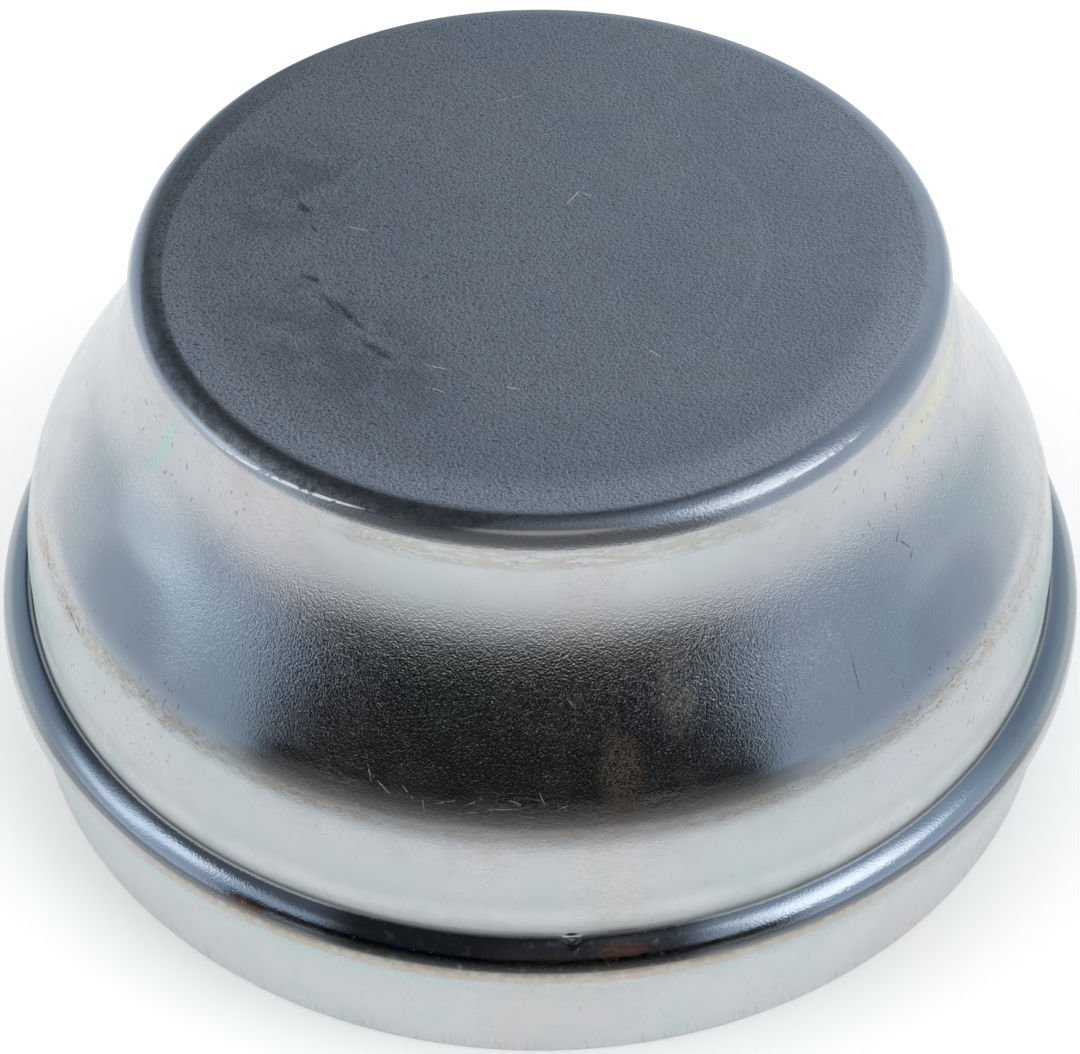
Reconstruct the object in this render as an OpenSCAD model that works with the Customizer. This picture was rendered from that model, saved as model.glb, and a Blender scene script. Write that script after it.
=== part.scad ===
// Hub grease cap, drawn from one disc of zinc plated sheet steel.
// It stands on the open end of its skirt: Z is the axis of the cap, and Z = 0 is the skirt's rim.
// The whole cap is one closed section turned about that axis. The section's outer face runs
// from the middle of the crown down over the flare, round the pleated flange and down the
// skirt, and its inner face runs back up one sheet behind it.

/* [Sheet] */
// Thickness of the sheet
sheet = 1.2; // [0.8:0.05:1.8]

/* [Skirt] */
// Outer diameter of the skirt that presses into the hub
skirt_d = 62; // [54:0.5:80]
// Height of the skirt, from its rim to the underside of the flange
skirt_h = 7.3; // [4:0.1:15]
// Rounding of the cut rim, outside and inside
rim_r = 0.25; // [0.05:0.05:0.35]
// Fillet between the skirt and the underside of the flange
root_r = 0.15; // [0.05:0.05:0.4]

/* [Pleated flange] */
// How far the flange stands out from the skirt
flange_out = 1.4; // [1:0.1:5]
// Height of the upright land at the flange's outer edge
land_h = 0.25; // [0.15:0.05:0.6]
// Rounding of the flange's lower edge
edge_r = 0.1; // [0.05:0.01:0.14]
// Gap left between the pleat's two leaves
slit = 0.15; // [0.05:0.05:0.5]
// Width of the crease between the wall and the flange's lip
crease_w = 0.25; // [0.1:0.05:0.5]
// Depth of the crease, measured from the top of the lip
crease_depth = 0.4; // [0.28:0.02:0.6]
// Radius of the lip beside the crease
lip_r = 0.28; // [0.1:0.02:0.4]

/* [Cup] */
// How far the wall above the flange is set in from the skirt
wall_in = 0.6; // [0:0.1:1.5]
// Height of the upright wall above the flange
wall_h = 2.1; // [0.5:0.1:8]
// Radius of the shoulder where the wall turns in to the flare
shoulder_r = 12.4; // [4:0.1:16]
// Radius of the hollow flare below the crown
flare_r = 17.5; // [4:0.1:20]
// Height of the cup, from the top of the flange to the top of the crown
cup_h = 22.8; // [16:0.1:40]

/* [Crown] */
// Largest diameter of the flat crown, over its rounded edge
crown_d = 45.9; // [32:0.1:50]
// Inside radius of the crown's edge, as the punch left it
punch_r = 0.55; // [0.2:0.05:3]
// Draft of the neck just below the crown's edge, in degrees
neck_draft = 5.5; // [1:0.5:10]
// Length of the straight neck between the crown's edge and the flare
neck_l = 0.25; // [0:0.05:3]

/* [Hidden] */
// Largest turn and shortest length of one step along an arc of the section
step_angle = 3;
step_length = 0.1;
// Steps round the axis
turn_steps = 180;
// Share of the room for the flare's two arcs that they may fill between them
arc_room = 0.97;

skirt_r = skirt_d / 2;
wall_r = skirt_r - wall_in;
flange_r = skirt_r + flange_out;
crown_r = crown_d / 2;
corner_r = punch_r + sheet;

// Heights of the pleat: its lower leaf, its slit and its upper leaf lie above one another
lower_leaf_z = skirt_h + sheet;
upper_leaf_z = lower_leaf_z + slit;
flange_z = upper_leaf_z + sheet;
wall_z = flange_z + wall_h;
crown_z = flange_z + cup_h;

// Crown edge and neck, which ends at the point where the flare starts
corner_c = [crown_r - corner_r, crown_z - corner_r];
neck_end = corner_c + corner_r * out(neck_draft) + neck_l * down(neck_draft);

// The flare is a hollow arc and the shoulder a full one, and the straight stretch between
// them is the line that touches both. Both arcs shrink alike where the cup is too low or
// too wide for them to leave that line.
wall_end = [wall_r, wall_z];
run = neck_end - wall_end;
arc_need = 2 * (flare_r * -(run * out(neck_draft)) + shoulder_r * -run.x);
arc_fit = min(1, arc_room * (run * run) / arc_need);
flare_fit_r = flare_r * arc_fit;
shoulder_fit_r = shoulder_r * arc_fit;
flare_c = neck_end + flare_fit_r * out(neck_draft);
shoulder_c = wall_end - shoulder_fit_r * out(0);
between = flare_c - shoulder_c;
slope = atan2(between.y, between.x) - acos((flare_fit_r + shoulder_fit_r) / norm(between));

// Lip and rounded nose of the flange: the nose touches the lip's arc and the upright land
lip_c = [wall_r + crease_w + lip_r, flange_z - lip_r];
nose_z = skirt_h + land_h;
nose_in = flange_r - lip_c.x;
nose_up = lip_c.y - nose_z;
nose_is_full = nose_in >= nose_up + lip_r;
nose_r = nose_is_full
    ? nose_up + lip_r
    : (nose_in * nose_in + nose_up * nose_up - lip_r * lip_r) / (2 * (nose_in - lip_r));
nose_c = [flange_r - nose_r, nose_z];
nose_start = nose_is_full ? 90 : asin(nose_up / (nose_r - lip_r));

// Crease beside the lip
crease_r = crease_w / 2;
crease_c = [wall_r + crease_r, flange_z - crease_depth + crease_r];

// Inside of the pleat: two bends one sheet behind the crease and the root, and the slit
upper_bend_r = sheet + crease_r;
upper_bend_c = [wall_r + crease_r, upper_leaf_z + upper_bend_r];
lower_bend_r = sheet + root_r;
lower_bend_c = [skirt_r + root_r, lower_leaf_z - lower_bend_r];
slit_l = max(0, flange_out - root_r - slit / 2 - sheet);
slit_c = [lower_bend_c.x + slit_l, lower_leaf_z + slit / 2];

// Unit vector out of the section's outer face where it faces up by this angle, and the
// unit vector down along the face there
function out(angle) = [cos(angle), sin(angle)];
function down(angle) = [sin(angle), -cos(angle)];

// Points along an arc about c, from one direction to another
function arc(c, r, from, to) =
    let (
        sweep = abs(to - from),
        length = r * sweep * PI / 180,
        steps = max(6, ceil(min(sweep / step_angle, length / step_length)))
    )
    [for (i = [0:steps]) c + r * out(from + (to - from) * i / steps)];

// Outer face, from the middle of the crown to the skirt's rim
function outer_face() = concat(
    [[0, crown_z]],
    arc(corner_c, corner_r, 90, neck_draft),
    arc(flare_c, flare_fit_r, 180 + neck_draft, 180 + slope),
    arc(shoulder_c, shoulder_fit_r, slope, 0),
    arc(crease_c, crease_r, 180, 360),
    arc(lip_c, lip_r, 180, nose_start),
    arc(nose_c, nose_r, nose_start, 0),
    arc([flange_r - edge_r, skirt_h + edge_r], edge_r, 0, -90),
    arc([skirt_r + root_r, skirt_h - root_r], root_r, 90, 180),
    arc([skirt_r - rim_r, rim_r], rim_r, 0, -90)
);

// Inner face, from the skirt's rim back up to the middle of the crown
function inner_face() = concat(
    arc([skirt_r - sheet + rim_r, rim_r], rim_r, -90, -180),
    arc(lower_bend_c, lower_bend_r, 180, 90),
    arc(slit_c, slit / 2, -90, 90),
    arc(upper_bend_c, upper_bend_r, 270, 180),
    arc(shoulder_c, shoulder_fit_r - sheet, 0, slope),
    arc(flare_c, flare_fit_r + sheet, 180 + slope, 180 + neck_draft),
    arc(corner_c, punch_r, neck_draft, 90),
    [[0, crown_z - sheet]]
);

module grease_cap() {
    color("lightsteelblue")
    rotate_extrude($fn = turn_steps)
    polygon(concat(outer_face(), inner_face()));
}

grease_cap();
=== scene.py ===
# Looks of the hub grease cap: a finer turned skin of zinc plated steel over the imported solid,
# its finish and handling marks, some highlights, reflections and shade painted into its colour,
# and the table-top studio round it. The cap and its marks are measured in millimetres, the studio
# in metres, and everything that Blender gets is in metres.
import math

import bpy
import numpy as np
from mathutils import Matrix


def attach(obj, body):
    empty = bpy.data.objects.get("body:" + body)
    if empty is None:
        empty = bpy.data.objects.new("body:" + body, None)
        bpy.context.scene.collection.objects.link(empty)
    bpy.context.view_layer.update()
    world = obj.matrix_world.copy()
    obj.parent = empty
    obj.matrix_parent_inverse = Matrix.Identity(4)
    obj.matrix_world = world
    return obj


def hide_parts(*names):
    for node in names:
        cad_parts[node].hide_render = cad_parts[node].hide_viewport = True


MM = 0.001
MM_PER_M = 1000.0


# The section of the cap. Its crease and lip are tighter than the solid's, as in the photo.

SHEET = 1.2
SKIRT_R = 31.0
SKIRT_H = 7.3
RIM_R = 0.25
ROOT_R = 0.15
FLANGE_R = 32.4
LAND_H = 0.25
EDGE_R = 0.1
SLIT = 0.15
CREASE_W = 0.12
CREASE_DEPTH = 0.4
LIP_R = 0.2
WALL_R = 30.4
WALL_H = 2.1
SHOULDER_R = 12.4
FLARE_R = 17.5
CUP_H = 22.8
CROWN_R = 22.95
PUNCH_R = 0.55
NECK_DRAFT = 5.5
NECK_L = 0.25

FLANGE_Z = SKIRT_H + 2 * SHEET + SLIT
WALL_Z = FLANGE_Z + WALL_H
CROWN_Z = FLANGE_Z + CUP_H
CORNER_R = PUNCH_R + SHEET

# Longest step along the straight stretches between the arcs, by the part that follows
LONGEST_STEP = {"edge": 2.0, "shoulder": 1.0, "crease": 0.7, "skirt": 0.9, "inside": 1.6}
LONGEST_STEP_ELSEWHERE = 1.0


def out(angle):
    """Unit vector in the section, (outwards, up), at an angle in degrees above outwards."""
    return np.array([math.cos(math.radians(angle)), math.sin(math.radians(angle))])


def arc(centre, radius, start, end, steps):
    """Points of an arc in the section, both ends included."""
    return [np.array(centre) + radius * out(a) for a in np.linspace(start, end, steps + 1)]


def straight(start, end, steps):
    """Points between two others, both left out."""
    return [start + (end - start) * i / steps for i in range(1, steps)]


def cap_section():
    """The section as a list of (point, part), from the middle of the crown round to its underside."""
    corner_c = np.array([CROWN_R - CORNER_R, CROWN_Z - CORNER_R])
    down = np.array([math.sin(math.radians(NECK_DRAFT)), -math.cos(math.radians(NECK_DRAFT))])
    neck_end = corner_c + CORNER_R * out(NECK_DRAFT) + NECK_L * down
    flare_c = neck_end + FLARE_R * out(NECK_DRAFT)
    shoulder_c = np.array([WALL_R - SHOULDER_R, WALL_Z])
    between = flare_c - shoulder_c
    lean = math.acos((FLARE_R + SHOULDER_R) / np.linalg.norm(between))
    slope = math.degrees(math.atan2(between[1], between[0]) - lean)
    lip_c = np.array([WALL_R + CREASE_W + LIP_R, FLANGE_Z - LIP_R])
    nose_in = FLANGE_R - lip_c[0]
    nose_up = lip_c[1] - SKIRT_H - LAND_H
    nose_r = (nose_in**2 + nose_up**2 - LIP_R**2) / (2 * (nose_in - LIP_R))
    nose_c = np.array([FLANGE_R - nose_r, SKIRT_H + LAND_H])
    nose_start = math.degrees(math.asin(nose_up / (nose_r - LIP_R)))
    crease_r = CREASE_W / 2
    crease_c = np.array([WALL_R + crease_r, FLANGE_Z - CREASE_DEPTH + crease_r])
    upper_r = SHEET + crease_r
    upper_c = np.array([WALL_R + crease_r, SKIRT_H + SHEET + SLIT + upper_r])
    lower_r = SHEET + ROOT_R
    lower_c = np.array([SKIRT_R + ROOT_R, SKIRT_H + SHEET - lower_r])
    slit_c = np.array([lower_c[0], SKIRT_H + SHEET + SLIT / 2])
    runs = [
        ("crown", [np.array([0.0, CROWN_Z])]),
        ("edge", arc(corner_c, CORNER_R, 90, NECK_DRAFT, 22)),
        ("flare", arc(flare_c, FLARE_R, 180 + NECK_DRAFT, 180 + slope, 18)),
        ("shoulder", arc(shoulder_c, SHOULDER_R, slope, 0, 22)),
        ("crease", arc(crease_c, crease_r, 180, 360, 8)),
        ("lip", arc(lip_c, LIP_R, 180, nose_start, 12)),
        ("nose", arc(nose_c, nose_r, nose_start, 0, 22)),
        ("land", arc([FLANGE_R - EDGE_R, SKIRT_H + EDGE_R], EDGE_R, 0, -90, 5)),
        ("root", arc([SKIRT_R + ROOT_R, SKIRT_H - ROOT_R], ROOT_R, 90, 180, 5)),
        ("skirt", arc([SKIRT_R - RIM_R, RIM_R], RIM_R, 0, -90, 6)),
        ("rim", arc([SKIRT_R - SHEET + RIM_R, RIM_R], RIM_R, -90, -180, 6)),
        ("inside", arc(lower_c, lower_r, 180, 90, 14)),
        ("inside", arc(slit_c, SLIT / 2, -90, 90, 6)),
        ("inside", arc(upper_c, upper_r, 270, 180, 14)),
        ("inside", arc(shoulder_c, SHOULDER_R - SHEET, 0, slope, 12)),
        ("inside", arc(flare_c, FLARE_R + SHEET, 180 + slope, 180 + NECK_DRAFT, 12)),
        ("inside", arc(corner_c, PUNCH_R, NECK_DRAFT, 90, 8)),
        ("inside", [np.array([0.0, CROWN_Z - SHEET])]),
    ]
    # Straight stretches between the arcs get rings of their own where they are long
    section = []
    for part, points in runs:
        if section:
            last = section[-1][0]
            gap = np.linalg.norm(points[0] - last)
            steps = max(1, math.ceil(gap / LONGEST_STEP.get(part, LONGEST_STEP_ELSEWHERE)))
            filled = "crown" if part == "edge" else part
            section += [(p, filled) for p in straight(last, points[0], steps)]
        section += [(p, part) for p in points]
    return section


# Azimuths are in degrees from the near side, -Y, towards the right, +X

NICK_AZ = 3.2
NICK_HALF = 1.1
NICK_IN = 0.16
NICK_DOWN = 0.42
NICK_REACH = 0.45
NICK_LOWEST = FLANGE_Z - 0.6
RING_STEPS = 336
NICK_STEPS = 12
CREASE_EDGE_R = WALL_R + 0.02


def azimuths():
    """Directions of the section's copies, closer together at the nick in the lip."""
    wide = 3 * NICK_HALF
    fine = np.linspace(NICK_AZ - wide, NICK_AZ + wide, NICK_STEPS, endpoint=False)
    rest = np.linspace(NICK_AZ + wide, NICK_AZ - wide + 360, RING_STEPS, endpoint=False)
    return np.concatenate([fine, rest])


def bell(x, width):
    """A smooth bump: 1 at 0, and near 0 beyond the width."""
    return math.exp(-((x / width) ** 2))


def wave(a, size, lobes, phase):
    """Unevenness round the cap, of a size in millimetres and with so many lobes."""
    return size * math.sin(lobes * a + phase)


def settle(point, part, az):
    """Moves a point of the section a little, as pressing, tapping and knocks did."""
    r, z = point
    a = math.radians(az)
    if part in ("crease", "lip", "nose") and r > CREASE_EDGE_R:
        r += wave(a, 0.02, 2, 0.7) + wave(a, 0.012, 5, 0.0)
        z += wave(a, 0.015, 3, 1.9)
    if part in ("lip", "nose") and z > NICK_LOWEST:
        knock = bell(az - NICK_AZ, NICK_HALF * 0.6) * bell(r - WALL_R - CREASE_W, NICK_REACH)
        r += NICK_IN * knock
        z -= NICK_DOWN * knock
    if part in ("flare", "shoulder"):
        r += wave(a, 0.012, 3, 0.4) * math.sin(z * 0.45)
    return r, z


CROWN_FINISH, SIDE_FINISH, INSIDE_FINISH = range(3)
CROWN_FINISH_Z = CROWN_Z - 1.41


def finish_of(point, part):
    """Which of the skin's materials is on the faces that end at this point of the section."""
    if part in ("inside", "rim"):
        return INSIDE_FINISH
    return CROWN_FINISH if point[1] > CROWN_FINISH_Z else SIDE_FINISH


def add_object(name, data):
    obj = bpy.data.objects.new(name, data)
    bpy.context.scene.collection.objects.link(obj)
    return obj


def cap_mesh():
    """The turned skin as a mesh object, whose faces have three finishes."""
    section = cap_section()
    around = azimuths()
    rings = section[1:-1]
    verts = []
    for az in around:
        a = math.radians(az)
        for point, part in rings:
            r, z = settle(point, part, (az + 180) % 360 - 180)
            verts.append((r * MM * math.sin(a), -r * MM * math.cos(a), z * MM))
    count = len(rings)
    total = len(around)
    top = len(verts)
    verts += [(0, 0, section[0][0][1] * MM), (0, 0, section[-1][0][1] * MM)]
    faces = []
    finishes = []
    for i in range(total):
        here, there = i * count, (i + 1) % total * count
        for j in range(count - 1):
            faces.append((here + j, here + j + 1, there + j + 1, there + j))
            finishes.append(finish_of(*rings[j + 1]))
        faces.append((top, here, there))
        faces.append((top + 1, there + count - 1, here + count - 1))
        finishes += [CROWN_FINISH, INSIDE_FINISH]
    mesh = bpy.data.meshes.new("cap_skin")
    mesh.from_pydata(verts, [], faces)
    mesh.update()
    mesh.polygons.foreach_set("use_smooth", [True] * len(mesh.polygons))
    for material in (crown_zinc(), side_zinc(), inside_zinc()):
        mesh.materials.append(material)
    mesh.polygons.foreach_set("material_index", finishes)
    return add_object("cap_skin", mesh)


# Building blocks for the materials


class Graph:
    """A node tree that is written as sums of its nodes."""

    def __init__(self, tree):
        self.tree = tree
        tree.nodes.clear()

    def node(self, kind, inputs=(), **settings):
        n = self.tree.nodes.new(kind)
        for name, value in settings.items():
            setattr(n, name, value)
        for key, value in dict(inputs).items():
            self.feed(n.inputs[key], value)
        return n

    def feed(self, socket, value):
        if isinstance(value, bpy.types.NodeSocket):
            self.tree.links.new(value, socket)
        elif isinstance(value, (tuple, list)) and socket.type == "RGBA" and len(value) == 3:
            socket.default_value = (*value, 1)
        else:
            socket.default_value = value

    def math(self, operation, a, b=0.0, c=0.0, clamp=False):
        inputs = {0: a, 1: b, 2: c}
        return self.node("ShaderNodeMath", inputs, operation=operation, use_clamp=clamp).outputs[0]

    def vector(self, operation, a, b=(0, 0, 0), scale=1.0):
        return self.node("ShaderNodeVectorMath", {0: a, 1: b, 3: scale}, operation=operation)

    def add(self, a, b):
        return self.math("ADD", a, b)

    def sub(self, a, b):
        return self.math("SUBTRACT", a, b)

    def mul(self, a, *others):
        for other in others:
            a = self.math("MULTIPLY", a, other)
        return a

    def most(self, a, *others):
        """The largest of several numbers."""
        for other in others:
            a = self.math("MAXIMUM", a, other)
        return a

    def step(self, x, low, high, to_low=0.0, to_high=1.0):
        """A smooth rise from to_low at low to to_high at high."""
        if low > high:
            low, high, to_low, to_high = high, low, to_high, to_low
        inputs = {"Value": x, "From Min": low, "From Max": high, "To Min": to_low, "To Max": to_high}
        return self.node("ShaderNodeMapRange", inputs, interpolation_type="SMOOTHSTEP").outputs[0]

    def band(self, x, low, high, soft):
        """1 between low and high, falling to 0 over soft outside them."""
        return self.mul(self.step(x, low - soft, low), self.step(x, high + soft, high))

    def noise(self, vector, scale, detail, rough):
        inputs = {"Vector": vector, "Scale": scale, "Detail": detail, "Roughness": rough}
        return self.node("ShaderNodeTexNoise", inputs).outputs[0]

    def stretch(self, vector, x, y, z, shift=(0, 0, 0)):
        inputs = {0: vector, 1: (x, y, z), 2: shift}
        return self.node("ShaderNodeVectorMath", inputs, operation="MULTIPLY_ADD").outputs[0]

    def ovals(self, place, ovals, edge=0.1):
        """1 inside ovals of (x, y, half length, half width, turn in degrees), and 0 round them.

        place is (x, y, 1), so that one dot product gives a distance along or across an oval.
        """
        nearest = None
        for x, y, length, width, turn in ovals:
            c, s = math.cos(math.radians(turn)), math.sin(math.radians(turn))
            along = (c / length, s / length, -(c * x + s * y) / length)
            across = (-s / width, c / width, (s * x - c * y) / width)
            u = self.vector("DOT_PRODUCT", place, along).outputs[1]
            v = self.vector("DOT_PRODUCT", place, across).outputs[1]
            gap = self.math("MULTIPLY_ADD", v, v, self.mul(u, u))
            nearest = gap if nearest is None else self.math("MINIMUM", nearest, gap)
        return self.step(nearest, 1.0, edge)

    def mix(self, factor, a, b):
        """Colour a, going to colour b as factor goes to 1."""
        n = self.node("ShaderNodeMix", data_type="RGBA", clamp_factor=True)
        self.feed(n.inputs[0], factor)
        self.feed(n.inputs[6], a)
        self.feed(n.inputs[7], b)
        return n.outputs[2]

    def blend(self, factor, a, b):
        """Number a, going to number b as factor goes to 1."""
        n = self.node("ShaderNodeMix", data_type="FLOAT", clamp_factor=True)
        self.feed(n.inputs[0], factor)
        self.feed(n.inputs[2], a)
        self.feed(n.inputs[3], b)
        return n.outputs[0]

    def polar(self, x, y):
        """Distance from the Z axis, azimuth in degrees, and the azimuth without its sign."""
        r = self.math("SQRT", self.add(self.mul(x, x), self.mul(y, y)))
        az = self.mul(self.math("ARCTAN2", x, self.mul(y, -1.0)), 180 / math.pi)
        return r, az, self.math("ABSOLUTE", az)


def new_material(name, graph=Graph):
    m = bpy.data.materials.new(name)
    m.use_nodes = True
    return m, graph(m.node_tree)


# Handling marks, and some painted highlights, reflections and shade, as ovals: x, y, half length,
# half width, turn in degrees. Those on the crown are placed by X and Y in millimetres, and those
# on the sides by half the azimuth in degrees, which is about a millimetre there, and by height in
# millimetres.

SIDE_MM = 0.5

CROWN_ACCENTS = (
    (-13.3, 3.0, 1.0, 0.33, -50), (-12.5, 1.0, 0.9, 0.12, -58), (-12.4, -3.2, 1.0, 0.3, -35),
    (-10.7, -5.9, 2.6, 0.4, -50), (-8.7, -9.0, 1.9, 0.45, -40),
)
CROWN_SMUDGES = ((-14.2, 4.5, 6.5, 5.0, 60), (-10.4, -9.0, 8.5, 5.0, -42))
CROWN_SCRATCHES = (
    (-5.6, -10.4, 0.9, 0.05, -18), (-5.5, -12.2, 0.8, 0.05, -24), (-10.1, 1.1, 0.9, 0.05, -17),
    (-1.4, -12.1, 0.5, 0.05, -15), (1.9, 3.9, 1.5, 0.05, 58), (2.7, 4.1, 0.6, 0.045, -28),
    (6.0, -9.2, 1.0, 0.04, -45), (-1.8, 13.0, 1.3, 0.04, 20),
)
# Painted highlights on the rolled edge, and a painted pale reflection band in front of it
ROLL_HIGHLIGHTS = ((-18.0, 31.84, 7.5, 0.09, 2.1), (18.0, 32.1, 8.0, 0.07, 0.0))
ROLL_REFLECTION_BAND = ((0.0, 32.12, 7.0, 0.12, 0),)
SIDE_SCRATCHES = (
    (-9.3, 19.0, 0.8, 0.04, -66), (-8.5, 18.4, 0.9, 0.04, -32), (-7.0, 18.3, 0.6, 0.035, -38),
    (-6.1, 17.8, 0.5, 0.035, -75), (-2.2, 18.0, 1.3, 0.04, 4), (-3.6, 17.75, 1.1, 0.03, 8),
    (-1.2, 18.35, 0.7, 0.03, -18), (-4.9, 18.15, 0.8, 0.03, 14), (0.1, 18.6, 0.5, 0.035, -62),
    (-3.4, 18.3, 0.6, 0.03, 24), (-0.6, 17.7, 0.7, 0.03, -6), (1.4, 18.2, 0.5, 0.03, 16),
    (1.8, 22.9, 0.45, 0.035, -40), (13.9, 2.2, 1.0, 0.05, -50),
)
DARK_SCRATCHES = (
    (25.6, 24.9, 0.5, 0.06, 40), (26.0, 24.3, 0.6, 0.06, -50), (26.2, 23.6, 0.5, 0.06, 30),
    (19.1, 20.6, 1.5, 0.04, 83), (36.4, 26.6, 0.6, 0.05, 75), (35.0, 25.3, 0.9, 0.05, 60),
    (31.8, 25.2, 0.5, 0.05, 80), (43.7, 25.3, 0.45, 0.09, 60), (21.0, 30.1, 0.5, 0.05, 20),
    (-41.5, 26.4, 0.5, 0.05, 100), (-44.6, 22.4, 0.4, 0.12, 20), (-33.0, 27.4, 0.5, 0.04, 60),
    (-36.0, 16.9, 1.6, 0.06, -14), (-31.0, 16.7, 1.5, 0.06, -8),
)
NECK_TEAL = ((-30.0, 28.0, 5.0, 0.7, 60),)
NECK_YELLOW = ((34.0, 29.2, 9.0, 1.3, 0),)
# Painted darker reflection low on the flare at both sides, and a painted pale reflection above it at
# the left
FLARE_SIDE_DARK_REFLECTION = ((-28.0, 20.0, 6.0, 3.0, 0), (28.0, 19.8, 6.0, 2.8, 0))
FLARE_LEFT_REFLECTION = ((-28.5, 24.2, 6.0, 2.6, 0),)
FLARE_RUST = ((4.4, 19.6, 2.7, 1.8, 90),)
FLARE_CHALK = ((8.0, 23.0, 3.4, 1.8, 90),)
FLANGE_BROWN = ((-15.0, 8.9, 1.6, 0.4, 0), (4.0, 9.4, 1.5, 0.4, 0))
FLANGE_BLUE = ((-6.9, 9.2, 0.28, 0.2, 0), (-10.5, 9.0, 0.35, 0.2, 0))
# Painted shade in the nick of the lip
NICK_SHADE_OVAL = ((NICK_AZ * SIDE_MM, 9.62, 0.4, 0.16, 0),)

# Regions of the sides, by height or radius. A fade goes from nothing at its first number to all at
# its second, and a zone has its two ends and how soft they are.

SKIRT_FADE = (7.9, 7.2)
WALL_FADE = (16.8, 13.0)
LOW_WALL_FADE = (12.4, 10.6)
NECK_FADE = (25.0, 28.5)
WALL_FACE_FADE = (WALL_R + 0.1, WALL_R + 0.04)
BEAD_FADE = (WALL_R + 0.15, WALL_R + 0.4)
FLARE_ZONE = (19.6, 26.6, 1.7)
NOSE_ZONE = (8.6, 9.9, 0.15)
# A painted dark reflection line low on the bead
BEAD_ZONE = (8.4, 9.9, 0.15)
BEAD_REFLECTION_LINE_ZONE = (8.52, 8.8, 0.14)
FOOT_ZONE = (8.05, 8.45, 0.25)
TEAL_ROOT_ZONE = (7.3, 7.5, 0.12)
TEAL_WALL_ZONE = (12.6, 14.2, 1.6)
FLECK_ZONE = (14.0, 18.4, 0.8)
CREST_ZONE = (16.6, 17.1, 0.6)
# A painted dark reflection edge along the shoulder's crest
CREST_REFLECTION_ZONE = (17.25, 17.8, 0.4)
UNDER_EDGE_ZONE = (30.3, 31.0, 0.6)

# Regions of the crown, in the same two forms: by radius, and by azimuth left and right alike

DISC_FADE = (CROWN_R - 1.1, CROWN_R - 2.0)
MARGIN_INNER_FADE = (18.4, 20.4)
MARGIN_OUTER_FADE = (21.9, 21.2)
MARGIN_AWAY_FADE = (108, 60)
PUNCH_RING_ZONE = (12.28, 12.4, 0.2)
PUNCH_RING_AWAY_ZONE = (40, 122, 15)
EDGE_INNER_FADE = (21.45, 21.68)
EDGE_OUTER_FADE = (22.75, 22.5)
EDGE_AWAY_FADE = (150, 110)

# Colours of the zinc that every finish starts from, of the crown, of the sides and of the inside

ZINC_COOL = (0.475, 0.50, 0.528)
ZINC_WARM = (0.515, 0.535, 0.55)
ZINC_GREY = (0.44, 0.455, 0.47)

# Painted pale reflection at the crown's front margin
MARGIN_REFLECTION_PALE = (0.69, 0.715, 0.74)
# Dirt and painted shade in the pits of the grain
PIT_DIRT_AND_SHADE = (0.19, 0.212, 0.242)
SMUDGE_GREY = (0.19, 0.22, 0.25)
ACCENT_DARK = (0.09, 0.10, 0.12)
PUNCH_RING_PALE = (0.70, 0.72, 0.75)
# Painted dark reflection on the rolled edge
EDGE_REFLECTION_BLACK = (0.055, 0.054, 0.057)
# Painted highlights on the roll, and pale scratches on the crown
HIGHLIGHT_AND_SCRATCH_PALE = (0.74, 0.76, 0.79)

SKIRT_PALE = (0.55, 0.575, 0.59)
LOW_WALL_PALE = (0.66, 0.69, 0.70)
# Painted pale reflection on the neck in front
NECK_REFLECTION_PALE = (0.58, 0.605, 0.625)
CLOUD_PINK = (0.57, 0.52, 0.535)
CLOUD_GREEN = (0.46, 0.56, 0.53)
WALL_TEAL = (0.23, 0.37, 0.35)
PALE_TEAL = (0.34, 0.555, 0.495)
PALE_YELLOW = (0.66, 0.63, 0.42)
TICK_GREY = (0.40, 0.42, 0.42)
MATTE_GREEN = (0.44, 0.56, 0.54)
FLECK_BROWN = (0.22, 0.20, 0.18)
SOIL_BROWN = (0.38, 0.33, 0.27)
LINE_BROWN = (0.18, 0.135, 0.095)
SCRATCH_DARK = (0.10, 0.085, 0.075)
NOSE_PALE = (0.56, 0.60, 0.645)
BEAD_GREY = (0.27, 0.315, 0.35)
# Painted dark reflections low on the bead and on its front
BEAD_REFLECTION_LINE_GREY = (0.17, 0.19, 0.22)
BEAD_REFLECTION_BLACK = (0.035, 0.035, 0.037)
BEAD_BLUE = (0.08, 0.11, 0.30)
BEAD_BROWN = (0.28, 0.17, 0.13)
# Painted shade in the nick
NICK_SHADE_BLACK = (0.04, 0.04, 0.04)
FOOT_BEIGE = (0.42, 0.385, 0.32)
FOOT_BROWN = (0.22, 0.19, 0.15)
SPECK_PALE = (0.60, 0.60, 0.60)
# Painted darker and pale reflections on the flare, and a painted dark reflection edge on the crest
FLARE_DARK_REFLECTION_GREY = (0.34, 0.375, 0.42)
FLARE_REFLECTION_PALE = (0.66, 0.685, 0.70)
CREST_REFLECTION_GREY = (0.22, 0.21, 0.20)
RUST_BROWN = (0.34, 0.21, 0.115)
CHALK_BROWN = (0.40, 0.36, 0.30)

INSIDE_GREY = (0.36, 0.35, 0.33)

# Roughness of dull places everywhere, and of the bright metal with what its tone adds

DULL_ROUGH = 0.5
TONE_ROUGH = (0.4, 0.75, 0.0, 0.06)
CROWN_ROUGH = 0.25
SIDE_ROUGH = 0.13
EDGE_ROUGH = 0.15


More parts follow.
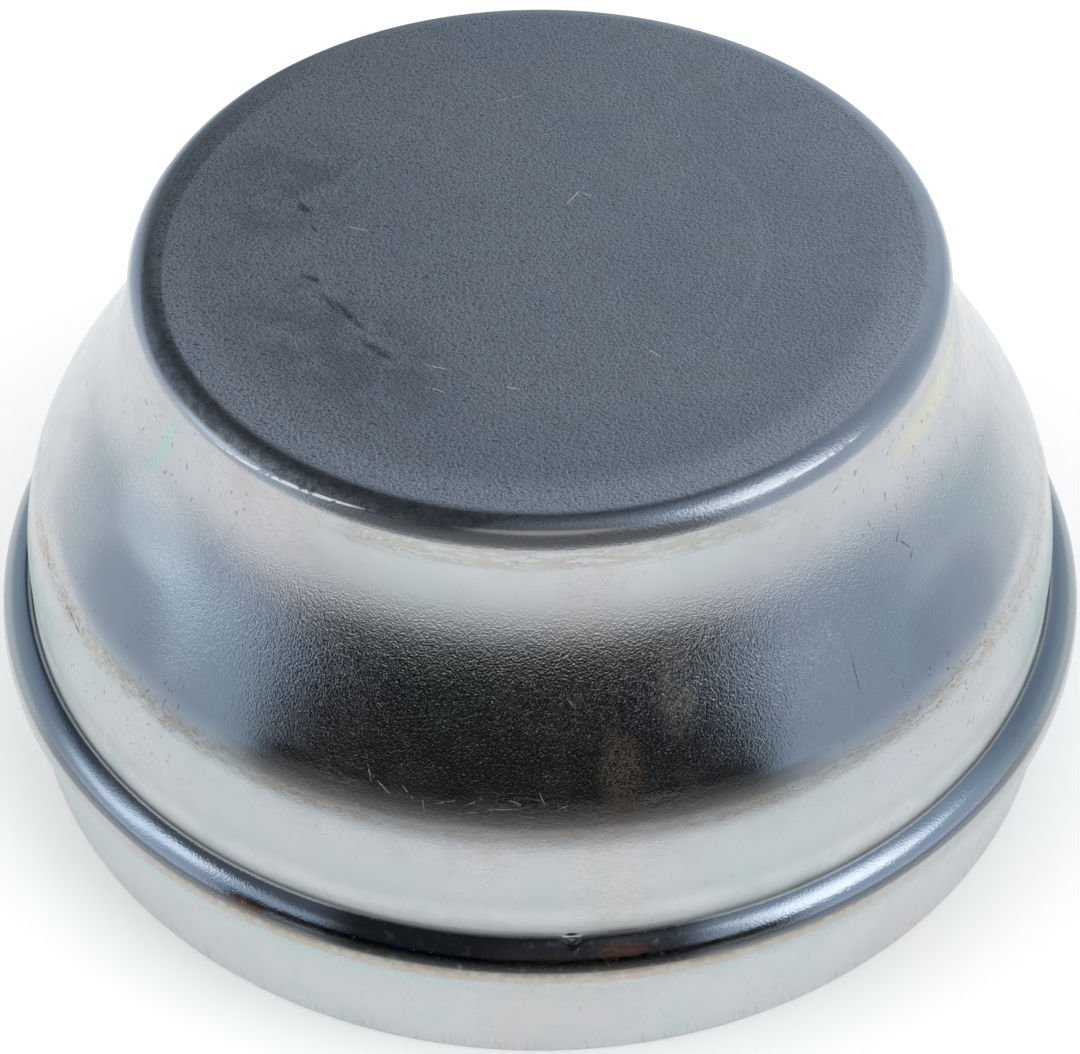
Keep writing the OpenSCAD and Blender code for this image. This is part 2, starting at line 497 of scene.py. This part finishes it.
class Zinc(Graph):
    """A graph with what every zinc finish shares: places in millimetres, noises and a colour."""

    def __init__(self, tree):
        super().__init__(tree)
        place = self.node("ShaderNodeTexCoord").outputs["Object"]
        self.mm = self.vector("SCALE", place, scale=MM_PER_M).outputs[0]
        axes = self.node("ShaderNodeSeparateXYZ", {0: self.mm}).outputs
        self.x, self.y, self.z = axes[0], axes[1], axes[2]
        self.r, self.az, self.away = self.polar(self.x, self.y)
        self.side = self.place(self.mul(self.az, SIDE_MM), self.z)
        self.cloud = self.noise(self.mm, 0.11, 1.0, 0.55)
        self.tone = self.noise(self.mm, 0.5, 2.0, 0.65)
        self.mid = self.noise(self.mm, 1.7, 2.0, 0.62)
        colour = self.mix(self.step(self.cloud, 0.35, 0.65), ZINC_COOL, ZINC_WARM)
        self.colour = self.mix(self.step(self.tone, 0.4, 0.72, 0.0, 0.4), colour, ZINC_GREY)

    def place(self, x, y):
        """A place as ovals() takes it."""
        return self.node("ShaderNodeCombineXYZ", {0: x, 1: y, 2: 1.0}).outputs[0]

    def paint(self, factor, colour):
        self.colour = self.mix(factor, self.colour, colour)

    def finish(self, dull, rough, height, depth):
        """The shader: depth is how many metres the bump of this height stands out."""
        bump = self.node("ShaderNodeBump", {"Strength": 1.0, "Distance": depth, "Height": height})
        shader = self.node("ShaderNodeBsdfPrincipled", {
            "Base Color": self.colour,
            "Metallic": self.sub(1.0, dull),
            "Roughness": rough,
            "Normal": bump.outputs[0],
        })
        self.node("ShaderNodeOutputMaterial", {0: shader.outputs[0]})


def crown_zinc():
    """The crown and its rolled edge: leathery grain, smudges, scratches, and a painted dark
    reflection and painted highlights on the edge.
    """
    m, g = new_material("zinc_crown", Zinc)
    flat = g.place(g.x, g.y)
    disc = g.step(g.r, *DISC_FADE)

    # A paler margin in front, which is a painted reflection, and grain of the drawn sheet with a
    # little dirt and painted shade in its pits
    margin = g.mul(g.step(g.r, *MARGIN_INNER_FADE), g.step(g.r, *MARGIN_OUTER_FADE))
    g.paint(g.mul(margin, g.step(g.away, *MARGIN_AWAY_FADE), 0.8), MARGIN_REFLECTION_PALE)
    grain = g.noise(g.stretch(g.mm, 0.85, 1.15, 1.0), 6.3, 2.0, 0.62)
    pits = g.mul(g.step(grain, 0.45, 0.3), disc, g.step(g.x, 17.0, -15.0, 0.45, 1.0))
    g.paint(pits, PIT_DIRT_AND_SHADE)

    # Smudges, and a faint ring left by the punch
    smudge = g.mul(g.ovals(flat, CROWN_SMUDGES, 0.0), g.step(g.tone, 0.3, 0.62, 0.0, 0.85))
    g.paint(g.mul(smudge, disc, 0.52), SMUDGE_GREY)
    accents = g.mul(g.ovals(flat, CROWN_ACCENTS, 0.0), g.step(g.mid, 0.32, 0.52))
    g.paint(g.mul(accents, 0.75), ACCENT_DARK)
    ring = g.mul(g.band(g.r, *PUNCH_RING_ZONE), g.band(g.away, *PUNCH_RING_AWAY_ZONE))
    g.paint(g.mul(ring, 0.2), PUNCH_RING_PALE)

    # The edge is painted dark as a reflection, most at the left, with painted highlights as thin pale
    # lines on its outer side
    inner = g.step(g.add(g.r, g.step(g.az, -125, -40, 1.3, 0.0)), *EDGE_INNER_FADE)
    wide = g.add(g.step(g.az, -105, -60, 1.15, 0.0), g.step(g.az, -12, -2, 0.0, 0.8))
    outer = g.step(g.add(g.r, wide), *EDGE_OUTER_FADE)
    edge = g.mul(inner, outer, g.step(g.az, 50, 8, 0.1, 0.82), g.step(g.az, -100, -60, 0.6, 1.0))
    edge = g.mul(edge, g.step(g.add(g.mid, grain), 0.75, 1.2, 1.0, 0.7))
    edge = g.mul(edge, g.step(g.away, *EDGE_AWAY_FADE))
    g.paint(edge, EDGE_REFLECTION_BLACK)
    roll_highlight = g.mul(g.ovals(g.side, ROLL_HIGHLIGHTS, 0.4), g.step(g.mid, 0.38, 0.5))
    roll_highlight = g.most(roll_highlight, g.mul(g.ovals(g.side, ROLL_REFLECTION_BAND, 0.0), 0.35))
    hairs = g.mul(g.ovals(flat, CROWN_SCRATCHES), disc, g.step(g.mid, 0.36, 0.5))
    pale = g.most(g.mul(roll_highlight, 0.85), g.mul(hairs, 0.45))
    g.paint(pale, HIGHLIGHT_AND_SCRATCH_PALE)

    dusty = g.mul(g.step(g.z, 32.3, 31.7), 0.14)
    dull = g.most(g.mul(pale, 0.75), dusty)
    rough = g.add(g.blend(disc, EDGE_ROUGH, CROWN_ROUGH), g.step(g.tone, *TONE_ROUGH))
    rough = g.blend(g.most(dull, edge), rough, DULL_ROUGH)
    height = g.add(grain, g.mul(g.mid, 0.3))
    g.finish(dull, rough, height, g.blend(disc, 0.016 * MM, 0.085 * MM))
    return m


def side_zinc():
    """The neck, flare, shoulder, wall, flange and skirt, grained on the flare and matte below."""
    m, g = new_material("zinc_sides", Zinc)
    r, z, az, away, side, mid = g.r, g.z, g.az, g.away, g.side, g.mid
    flare = g.band(z, *FLARE_ZONE)
    wall = g.mul(g.step(r, *WALL_FACE_FADE), g.step(z, *WALL_FADE))
    skirt = g.step(z, *SKIRT_FADE)
    matte = g.most(wall, skirt)
    neck = g.step(z, *NECK_FADE)
    bead = g.step(r, *BEAD_FADE)
    nose = g.mul(bead, g.band(z, *NOSE_ZONE))

    # Paler and faintly tinted places of the plating, and a painted pale reflection on the neck in
    # front
    g.paint(skirt, SKIRT_PALE)
    g.paint(g.mul(wall, g.step(z, *LOW_WALL_FADE)), LOW_WALL_PALE)
    g.paint(g.mul(neck, g.step(away, 34, 14, 0.0, 0.8)), NECK_REFLECTION_PALE)
    g.paint(g.step(g.cloud, 0.53, 0.68, 0.0, 0.3), CLOUD_PINK)
    g.paint(g.step(g.cloud, 0.47, 0.33, 0.0, 0.3), CLOUD_GREEN)
    tint = g.mul(g.band(away, 72, 96, 13), g.step(g.tone, 0.1, 0.6))
    g.paint(g.mul(g.band(z, *TEAL_WALL_ZONE), tint, 0.8), WALL_TEAL)
    teal = g.mul(g.band(z, *TEAL_ROOT_ZONE), 0.6)
    teal = g.most(teal, g.mul(g.ovals(side, NECK_TEAL, 0.0), 0.7))
    g.paint(g.mul(teal, 0.75), PALE_TEAL)
    g.paint(g.mul(g.ovals(side, NECK_YELLOW, 0.0), 0.45), PALE_YELLOW)

    # Small upright marks along the rim under a faint green, and dark flecks, most at both sides
    ticks = g.noise(g.stretch(side, 1.0, 0.12, 0.0), 3.5, 1.0, 0.6)
    ticks = g.mul(g.step(ticks, 0.56, 0.66, 0.0, 0.5), g.mul(skirt, g.step(z, 1.6, 0.3)))
    g.paint(ticks, TICK_GREY)
    g.paint(g.mul(g.step(g.tone, 0.5, 0.66, 0.0, 0.3), matte), MATTE_GREEN)
    fleck_bed = g.noise(g.stretch(g.mm, 1.0, 1.0, 0.5, (9, 2, 5)), 3.0, 1.5, 0.65)
    fleck_area = g.add(g.band(z, *FLECK_ZONE), g.step(z, 25.0, 27.0))
    fleck_area = g.blend(g.mul(g.step(away, 34, 48), fleck_area), 0.1, 0.7)
    g.paint(g.mul(g.step(fleck_bed, 0.65, 0.71), fleck_area), FLECK_BROWN)

    # Brown soil under the crown's edge and along the shoulder's crest, with fine lines round the cap
    streak = g.noise(g.stretch(g.mm, 0.8, 0.8, 4.5), 1.0, 3.0, 0.72)
    lines = g.step(g.math("ABSOLUTE", g.sub(streak, 0.5)), 0.028, 0.008)
    under = g.mul(g.band(z, *UNDER_EDGE_ZONE), g.blend(g.band(az, -22, 26, 12), 0.2, 0.9))
    crest = g.mul(g.band(z, *CREST_ZONE), g.blend(g.band(away, 20, 66, 14), 0.7, 1.0))
    soil = g.mul(g.most(under, crest), g.step(streak, 0.4, 0.62, 0.15, 0.75))
    g.paint(g.mul(soil, 0.7), SOIL_BROWN)
    dirty = g.most(g.mul(under, 0.6), crest)
    dirty = g.mul(dirty, g.mul(g.step(mid, 0.36, 0.55), g.step(g.tone, 0.35, 0.6, 0.3, 1.0)))
    clean = g.sub(1.0, g.add(flare, g.mul(skirt, 0.6)))
    sparse = g.mul(g.step(g.cloud, 0.5, 0.6, 0.0, 0.22), clean)
    brown = g.mul(lines, g.most(dirty, sparse))
    g.paint(brown, LINE_BROWN)
    dark = g.mul(g.ovals(side, DARK_SCRATCHES), g.step(mid, 0.33, 0.5, 0.1, 0.85))
    g.paint(dark, SCRATCH_DARK)

    # The flange: painted black in front as a dark reflection, a painted dark reflection line low on
    # the bead, painted shade in the nick, and a beige foot that darkens towards the nose
    g.paint(g.mul(nose, g.step(away, 16, 26)), NOSE_PALE)
    g.paint(g.mul(bead, g.band(z, *BEAD_ZONE), g.step(away, 44, 62)), BEAD_GREY)
    low_dark_reflection = g.mul(g.band(z, *BEAD_REFLECTION_LINE_ZONE), g.band(away, 20, 58, 9))
    g.paint(g.mul(bead, g.mul(low_dark_reflection, 0.85)), BEAD_REFLECTION_LINE_GREY)
    front_dark_reflection = g.mul(nose, g.mul(g.band(az, -18, 13, 6), g.step(mid, 0.2, 0.45, 0.6, 1.0)))
    g.paint(g.mul(front_dark_reflection, 0.87), BEAD_REFLECTION_BLACK)
    g.paint(g.mul(g.ovals(side, FLANGE_BLUE), 0.6), BEAD_BLUE)
    g.paint(g.mul(g.ovals(side, FLANGE_BROWN), g.step(mid, 0.3, 0.55, 0.3, 0.9)), BEAD_BROWN)
    g.paint(g.ovals(side, NICK_SHADE_OVAL), NICK_SHADE_BLACK)
    foot = g.mul(g.band(z, *FOOT_ZONE), g.blend(g.band(az, -30, 24, 22), 0.2, 1.0))
    foot = g.mul(foot, g.step(mid, 0.3, 0.6, 0.4, 0.9))
    g.paint(foot, g.mix(g.step(z, 8.1, 8.6), FOOT_BEIGE, FOOT_BROWN))

    # Grain on the flare, pale specks where it is burnished, and hairline scratches
    grain = g.noise(g.mm, 8.0, 1.5, 0.6)
    speck = g.mul(g.step(grain, 0.71, 0.77), g.most(flare, front_dark_reflection))
    hairs = g.mul(g.ovals(side, SIDE_SCRATCHES), g.step(mid, 0.36, 0.5))
    pale = g.most(g.mul(speck, 0.45), g.mul(hairs, 0.32))
    g.paint(pale, SPECK_PALE)

    # A painted darker reflection low on the flare at both sides, a painted pale reflection above it
    # at the left, a painted dark reflection edge along the crest in front, and two stains
    g.paint(g.mul(g.ovals(side, FLARE_SIDE_DARK_REFLECTION, 0.0), 0.9), FLARE_DARK_REFLECTION_GREY)
    g.paint(g.mul(g.ovals(side, FLARE_LEFT_REFLECTION, 0.0), 0.8), FLARE_REFLECTION_PALE)
    crest_dark_reflection = g.mul(g.band(z, *CREST_REFLECTION_ZONE), g.band(az, -30, 26, 8))
    g.paint(g.mul(crest_dark_reflection, 0.6), CREST_REFLECTION_GREY)
    stained = g.step(grain, 0.3, 0.65)
    rusty = g.mul(g.ovals(side, FLARE_RUST, 0.0), stained)
    chalky = g.mul(g.ovals(side, FLARE_CHALK, 0.0), stained)
    g.paint(g.mul(rusty, 0.85), RUST_BROWN)
    g.paint(g.mul(chalky, 0.6), CHALK_BROWN)
    stain = g.most(g.mul(rusty, rusty, 0.14), g.mul(chalky, chalky, 0.13))

    dull = g.most(g.mul(matte, 0.7), g.mul(brown, 0.5), g.mul(pale, 0.75), g.mul(neck, 0.45))
    dull = g.most(dull, stain, g.mul(foot, 0.6))
    rough = g.blend(dull, g.add(SIDE_ROUGH, g.step(g.tone, *TONE_ROUGH)), DULL_ROUGH)
    deep = g.mul(flare, g.step(away, 34, 58, 0.030, 0.012), g.step(z, 19.0, 24.0, 0.45, 1.0))
    deep = g.add(deep, g.mul(nose, g.step(away, 14, 30), 0.006))
    height = g.add(grain, g.mul(mid, 0.4))
    g.finish(dull, rough, height, g.mul(g.add(deep, 0.005), MM))
    return m


def inside_zinc():
    """The inside, which the photo doesn't show: plain zinc, a little dull."""
    m, g = new_material("zinc_inside", Zinc)
    g.paint(g.step(g.mid, 0.45, 0.7, 0.0, 0.35), INSIDE_GREY)
    g.finish(0.1, g.step(g.tone, 0.3, 0.7, 0.26, 0.36), g.mid, 0.01 * MM)
    return m


# The studio: pale floor, white surroundings, a painted tent that only reflections see, two lamps

TENT_R = 1.0
TENT_FOOT_R = 0.09
TENT_FOOT_H = 0.045
TENT_FOOT_GAP = 0.0005
TENT_TOP = math.pi / 2 - 0.001
TENT_STEPS = 96
TENT_RINGS = 24
EYE_Z = 0.016
FLOOR_R = 3.0
FLOOR_STEPS = 64
WORLD_DIFFUSE = 0.93
WORLD_SEEN = 1.0

# Colours of the tent, as it shines, and of the floor
TENT_WALL_LOW = (0.38, 0.47, 0.60)
TENT_WALL_HIGH = (0.29, 0.36, 0.46)
TENT_BACK_LEFT = (0.127, 0.149, 0.178)
TENT_BACK_RIGHT = (0.52, 0.605, 0.71)
TENT_BACK_HIGH = (0.172, 0.202, 0.245)
TENT_CEILING = (0.10, 0.12, 0.14)
TENT_LOW_STRIP = (0.58, 0.67, 0.77)
TENT_DARK_LEFT = (0.085, 0.098, 0.12)
TENT_BROWN = (0.20, 0.19, 0.20)
TENT_OPENING = (0.010, 0.009, 0.009)
TENT_TABLE = (0.93, 0.94, 0.95)
FLOOR_WHITE = (0.95, 0.95, 0.95)

# Bright panels of the tent, left and right: azimuths and elevations, each with its softness in
# degrees, and colour
BRIGHT_PANELS = (
    ((46, 84, 6), (27, 56, 6), (0.98, 1.08, 1.22)),
    ((52, 76, 5), (30, 48, 5), (1.5, 1.56, 1.62)),
    ((-85, -70, 5), (9, 44, 5), (1.05, 1.2, 1.35)),
)

# Name, azimuth and elevation in degrees, distance and size in metres, and watts
LAMPS = (
    ("lamp_right", 60, 50, 0.8, 0.5, 1.6),
    ("lamp_left", -75, 45, 0.8, 0.5, 1.1),
)


def tent_material():
    """Panels of the tent, by azimuth and elevation as the cap sees them."""
    m, g = new_material("tent")
    place = g.node("ShaderNodeNewGeometry").outputs["Position"]
    axes = g.node("ShaderNodeSeparateXYZ", {0: place}).outputs
    x, y, z = axes[0], axes[1], axes[2]
    r, az, away = g.polar(x, y)
    el = g.mul(g.math("ARCTAN2", g.sub(z, EYE_Z), r), 180 / math.pi)

    # Blue-grey walls, a back that is darker on the left and above, and a dim ceiling
    colour = g.mix(g.step(el, 25, 60), TENT_WALL_LOW, TENT_WALL_HIGH)
    sideways = g.math("DIVIDE", x, r)
    back = g.mix(g.step(sideways, -0.6, 0.6), TENT_BACK_LEFT, TENT_BACK_RIGHT)
    back = g.mix(g.step(el, 34, 66), back, TENT_BACK_HIGH)
    colour = g.mix(g.step(away, 122, 148), colour, back)
    colour = g.mix(g.step(el, 66, 84), colour, TENT_CEILING)
    # A paler strip low on both sides, behind the middle
    low = g.mul(g.band(away, 84, 146, 14), g.step(el, 20, 2))
    colour = g.mix(low, colour, TENT_LOW_STRIP)
    # Dark at the left, from the far left edge round to the front
    left_high = g.mul(g.band(az, -142, -6, 8), g.step(el, 42, 52))
    left_low = g.mul(g.band(az, -39, -4, 6), g.step(el, 14, 20))
    left_back = g.mul(g.band(az, -146, -104, 8), g.step(el, 30, 38))
    colour = g.mix(g.most(left_high, left_low, left_back), colour, TENT_DARK_LEFT)
    # A brown patch high on the right of the opening, and the dark opening behind the camera
    brown = g.mul(g.band(az, -6, 24, 6), g.band(el, 30, 64, 6))
    colour = g.mix(brown, colour, TENT_BROWN)
    opening = g.mul(g.band(az, -46, 36, 8), g.step(el, 34, 26))
    colour = g.mix(opening, colour, TENT_OPENING)
    for az_zone, el_zone, shine in BRIGHT_PANELS:
        panel = g.mul(g.band(az, *az_zone), g.band(el, *el_zone))
        colour = g.mix(panel, colour, shine)
    # The table, whose edge is soft in front and lower and sharper at the sides
    beyond = g.sub(el, g.step(away, 20, 100, -2.5, -6.8))
    soft = g.step(away, 20, 100, 13.5, 8.0)
    table = g.step(g.math("DIVIDE", beyond, soft), 1.0, -1.0)
    colour = g.mix(table, colour, TENT_TABLE)
    glow = g.node("ShaderNodeEmission", {"Color": colour, "Strength": 1.0})
    g.node("ShaderNodeOutputMaterial", {0: glow.outputs[0]})
    return m


def turned(name, profile, steps, material):
    """A smooth surface of revolution round Z, from (radius, height) pairs in metres."""
    verts, faces = [], []
    for i in range(steps):
        a = 2 * math.pi * i / steps
        verts += [(r * math.sin(a), -r * math.cos(a), z) for r, z in profile]
    n = len(profile)
    for i in range(steps):
        for j in range(n - 1):
            here, there = i * n + j, (i + 1) % steps * n + j
            faces.append((here, there, there + 1, here + 1))
    mesh = bpy.data.meshes.new(name)
    mesh.from_pydata(verts, [], faces)
    mesh.polygons.foreach_set("use_smooth", [True] * len(faces))
    mesh.materials.append(material)
    obj = add_object(name, mesh)
    return obj


def tent():
    paint = tent_material()
    elevations = np.linspace(0, TENT_TOP, TENT_RINGS)
    dome = [(TENT_R * math.cos(e), TENT_R * math.sin(e)) for e in elevations]
    foot = [(TENT_FOOT_R, TENT_FOOT_GAP), (TENT_FOOT_R, TENT_FOOT_H)]
    for name, profile in (("tent_dome", dome), ("tent_foot", foot)):
        obj = turned(name, profile, TENT_STEPS, paint)
        obj.visible_camera = False
        obj.visible_diffuse = False
        obj.visible_shadow = False
        obj.visible_transmission = False


def floor():
    m, g = new_material("pale_floor")
    shader = g.node("ShaderNodeBsdfPrincipled", {"Base Color": FLOOR_WHITE, "Roughness": 0.7})
    g.node("ShaderNodeOutputMaterial", {0: shader.outputs[0]})
    turned("floor", [(0.0, 0.0), (FLOOR_R, 0.0)], FLOOR_STEPS, m)


def surroundings():
    """White all round, a little dimmer as light than as it is seen."""
    world = bpy.data.worlds.new("studio")
    bpy.context.scene.world = world
    world.use_nodes = True
    g = Graph(world.node_tree)
    path = g.node("ShaderNodeLightPath").outputs
    seen = g.math("ADD", path["Is Camera Ray"], path["Is Glossy Ray"], clamp=True)
    seen = g.math("ADD", seen, path["Is Transmission Ray"], clamp=True)
    strength = g.blend(seen, WORLD_DIFFUSE, WORLD_SEEN)
    sky = g.node("ShaderNodeBackground", {"Color": (1, 1, 1), "Strength": strength})
    g.node("ShaderNodeOutputWorld", {0: sky.outputs[0]})


def lamp(name, az, el, distance, size, power):
    """A soft square lamp that faces the cap from an azimuth and elevation."""
    data = bpy.data.lights.new(name, "AREA")
    data.shape = "SQUARE"
    data.size = size
    data.energy = power
    obj = add_object(name, data)
    a, e = math.radians(az), math.radians(el)
    back = np.array([math.sin(a) * math.cos(e), -math.cos(a) * math.cos(e), math.sin(e)])
    obj.location = back * distance
    obj.rotation_euler = (math.pi / 2 - e, 0, a)
    obj.visible_glossy = False


# The photo's camera: its place and aim above the rim, in millimetres, its lens, and how near and
# far it sees, in metres

CAMERA_AT = (0.0, -141.0, 149.5)
CAMERA_AIM_Z = 10.43
CAMERA_LENS = 109.8
SENSOR = 36.0
CAMERA_NEAR = 0.01
CAMERA_FAR = 10.0


def camera():
    data = bpy.data.cameras.new("camera")
    data.lens = CAMERA_LENS
    data.sensor_width = SENSOR
    data.clip_start = CAMERA_NEAR
    data.clip_end = CAMERA_FAR
    obj = add_object("camera", data)
    obj.location = [c * MM for c in CAMERA_AT]
    drop = math.atan2(CAMERA_AT[2] - CAMERA_AIM_Z, -CAMERA_AT[1])
    obj.rotation_euler = (math.pi / 2 - drop, 0, 0)
    bpy.context.scene.camera = obj


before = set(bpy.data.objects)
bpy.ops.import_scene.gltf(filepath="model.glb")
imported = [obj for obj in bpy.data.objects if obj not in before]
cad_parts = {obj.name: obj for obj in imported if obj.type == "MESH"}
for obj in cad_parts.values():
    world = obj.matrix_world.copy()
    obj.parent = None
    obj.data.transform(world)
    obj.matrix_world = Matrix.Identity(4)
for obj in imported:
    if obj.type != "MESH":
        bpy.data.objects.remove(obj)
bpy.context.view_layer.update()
bpy.context.scene.view_settings.view_transform = "Standard"

camera()
surroundings()
floor()
tent()
for settings in LAMPS:
    lamp(*settings)

skin = cap_mesh()
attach(skin, "root")
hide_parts("grease_cap")
